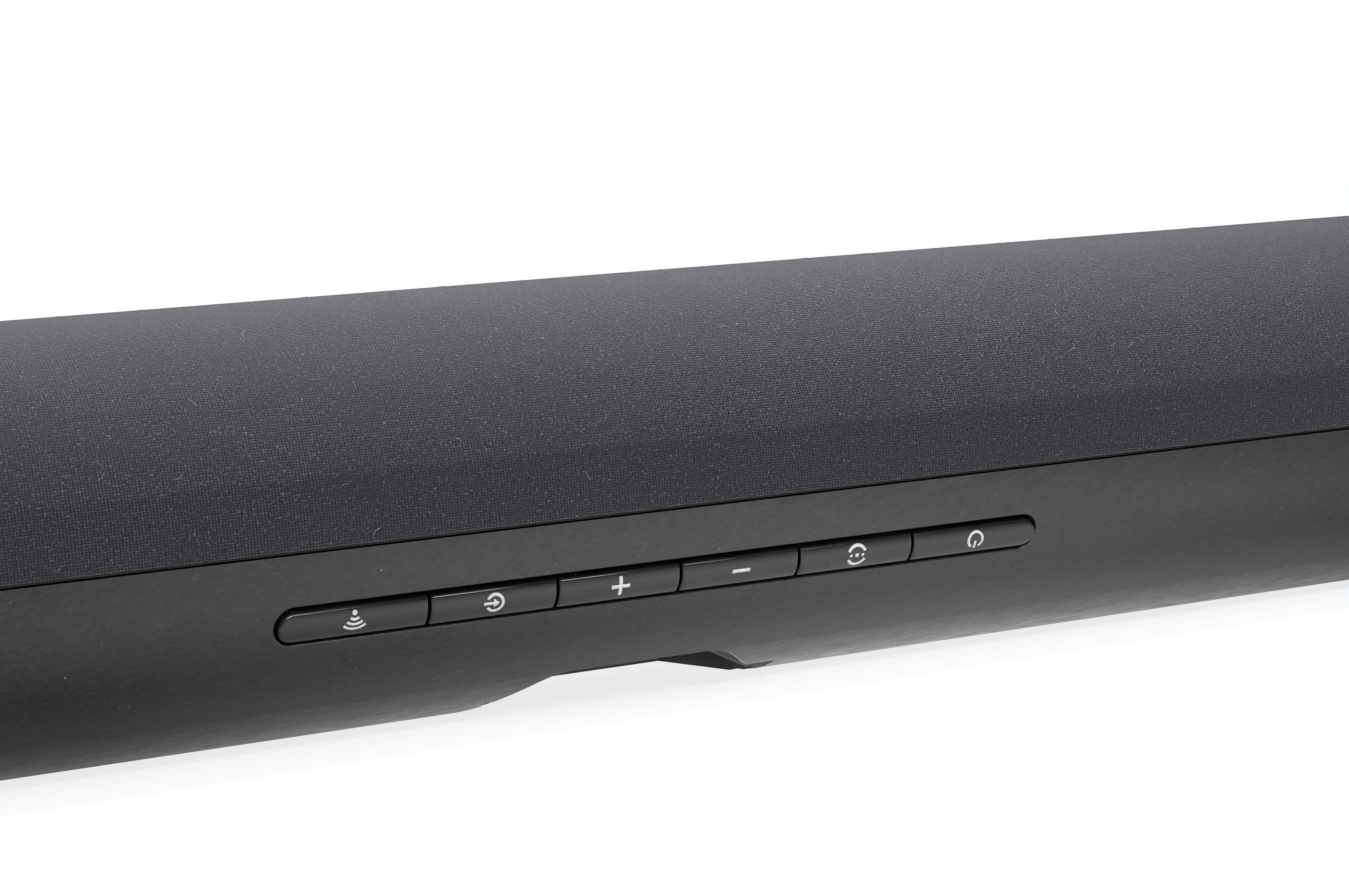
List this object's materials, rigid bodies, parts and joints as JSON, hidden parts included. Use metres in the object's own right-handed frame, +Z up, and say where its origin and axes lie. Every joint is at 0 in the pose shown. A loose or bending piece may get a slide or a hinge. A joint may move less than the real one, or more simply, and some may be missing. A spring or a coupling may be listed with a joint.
{
  "type": "soundbar",
  "caption": "Compact rounded bar loudspeaker: cloth-wrapped cover over a black moulded shell, a recessed row of push keys, a cable notch under the keys and a socket bay in the base.",
  "frame": {"origin": "on the resting surface, under the middle of the bar", "axes": "X along the bar, +X at the right-hand end seen from the front; the cloth front faces -Y; the keys and the cable notch face +Y; +Z is up"},
  "size_m": [0.656, 0.074, 0.0692],
  "materials": {
    "shell_plastic": "satin black moulded plastic with a fine grain",
    "grille_fabric": "charcoal fine-knit acoustic cloth",
    "cabinet_plastic": "plain black moulding",
    "key_plastic": "smooth satin-gloss black moulding with white printed symbols",
    "tray_plastic": "matt black moulding",
    "socket_plastic": "glass-filled black nylon",
    "plated_contact": "nickel-plated brass",
    "circuit_laminate": "green lacquered laminate",
    "foot_rubber": "moulded rubber",
    "insert_brass": "knurled brass",
    "screw_steel": "black zinc-plated steel",
    "switch_plastic": "moulded switch housing",
    "gasket_foam": "closed-cell foam",
    "heatsink_aluminium": "extruded, plain",
    "transformer_tape": "polyester tape over ferrite and windings",
    "capacitor_sleeve": "shrink sleeve",
    "light_diffuser": "milky acrylic",
    "wire_sleeve": "soft insulation",
    "ribbon_film": "laminated polyester film",
    "basket_steel": "black powder coat",
    "surround_rubber": "soft rubber roll",
    "cone_paper": "coated black paper",
    "coil_winding": "enamelled copper on a thin former",
    "spider_cloth": "resin-dipped woven cloth",
    "plated_steel": "zinc-plated steel",
    "ferrite": "sintered ferrite"
  },
  "bodies": {
    "housing": {"rear_shell": "shell_plastic", "front_cabinet": "cabinet_plastic", "grille_frame": "cabinet_plastic", "grille_cloth": "grille_fabric", "left_end_cap": "shell_plastic", "right_end_cap": "shell_plastic", "connector_tray": "tray_plastic", "mains_inlet": "socket_plastic", "inlet_pins": "plated_contact", "optical_socket": "socket_plastic", "aux_socket": "socket_plastic", "socket_board": "circuit_laminate", "rubber_feet": "foot_rubber", "bracket_inserts": "insert_brass", "case_screws": "screw_steel", "driver_screws": "screw_steel", "board_screws": "screw_steel", "key_frame": "cabinet_plastic", "switch_bodies": "switch_plastic", "key_board": "circuit_laminate", "driver_gaskets": "gasket_foam", "main_board": "circuit_laminate", "power_board": "circuit_laminate", "amplifier_heatsink": "heatsink_aluminium", "power_transformer": "transformer_tape", "capacitors": "capacitor_sleeve", "light_pipe": "light_diffuser", "light_board": "circuit_laminate", "speaker_wires": "wire_sleeve", "key_ribbon": "ribbon_film", "left_basket": "basket_steel", "left_surround": "surround_rubber", "left_spider": "spider_cloth", "left_top_plate": "plated_steel", "left_magnet": "ferrite", "left_back_plate": "plated_steel", "right_basket": "basket_steel", "right_surround": "surround_rubber", "right_spider": "spider_cloth", "right_top_plate": "plated_steel", "right_magnet": "ferrite", "right_back_plate": "plated_steel"},
    "wireless_key": {"key_wireless": "key_plastic", "plunger_wireless": "switch_plastic"},
    "source_key": {"key_source": "key_plastic", "plunger_source": "switch_plastic"},
    "volume_up_key": {"key_volume_up": "key_plastic", "plunger_volume_up": "switch_plastic"},
    "volume_down_key": {"key_volume_down": "key_plastic", "plunger_volume_down": "switch_plastic"},
    "surround_key": {"key_surround": "key_plastic", "plunger_surround": "switch_plastic"},
    "power_key": {"key_power": "key_plastic", "plunger_power": "switch_plastic"},
    "left_cone_assembly": {"left_cone": "cone_paper", "left_dust_cap": "cone_paper", "left_voice_coil": "coil_winding"},
    "right_cone_assembly": {"right_cone": "cone_paper", "right_dust_cap": "cone_paper", "right_voice_coil": "coil_winding"}
  },
  "joints": [
    {"name": "wireless_press", "type": "slide", "parent": "housing", "child": "wireless_key", "axis": [0, -0.9114, 0.4115], "range_m": [0, 0.0006], "stiffness_N_per_m": 1500, "springref_m": -0.0003},
    {"name": "source_press", "type": "slide", "parent": "housing", "child": "source_key", "axis": [0, -0.9114, 0.4115], "range_m": [0, 0.0006], "stiffness_N_per_m": 1500, "springref_m": -0.0003},
    {"name": "volume_up_press", "type": "slide", "parent": "housing", "child": "volume_up_key", "axis": [0, -0.9114, 0.4115], "range_m": [0, 0.0006], "stiffness_N_per_m": 1500, "springref_m": -0.0003},
    {"name": "volume_down_press", "type": "slide", "parent": "housing", "child": "volume_down_key", "axis": [0, -0.9114, 0.4115], "range_m": [0, 0.0006], "stiffness_N_per_m": 1500, "springref_m": -0.0003},
    {"name": "surround_press", "type": "slide", "parent": "housing", "child": "surround_key", "axis": [0, -0.9114, 0.4115], "range_m": [0, 0.0006], "stiffness_N_per_m": 1500, "springref_m": -0.0003},
    {"name": "power_press", "type": "slide", "parent": "housing", "child": "power_key", "axis": [0, -0.9114, 0.4115], "range_m": [0, 0.0006], "stiffness_N_per_m": 1500, "springref_m": -0.0003},
    {"name": "left_cone_travel", "type": "slide", "parent": "housing", "child": "left_cone_assembly", "axis": [0, -1, 0], "range_m": [-0.0015, 0.0015], "stiffness_N_per_m": 1000, "deforming": ["left_surround", "left_spider"]},
    {"name": "right_cone_travel", "type": "slide", "parent": "housing", "child": "right_cone_assembly", "axis": [0, -1, 0], "range_m": [-0.0015, 0.0015], "stiffness_N_per_m": 1000, "deforming": ["right_surround", "right_spider"]}
  ]
}
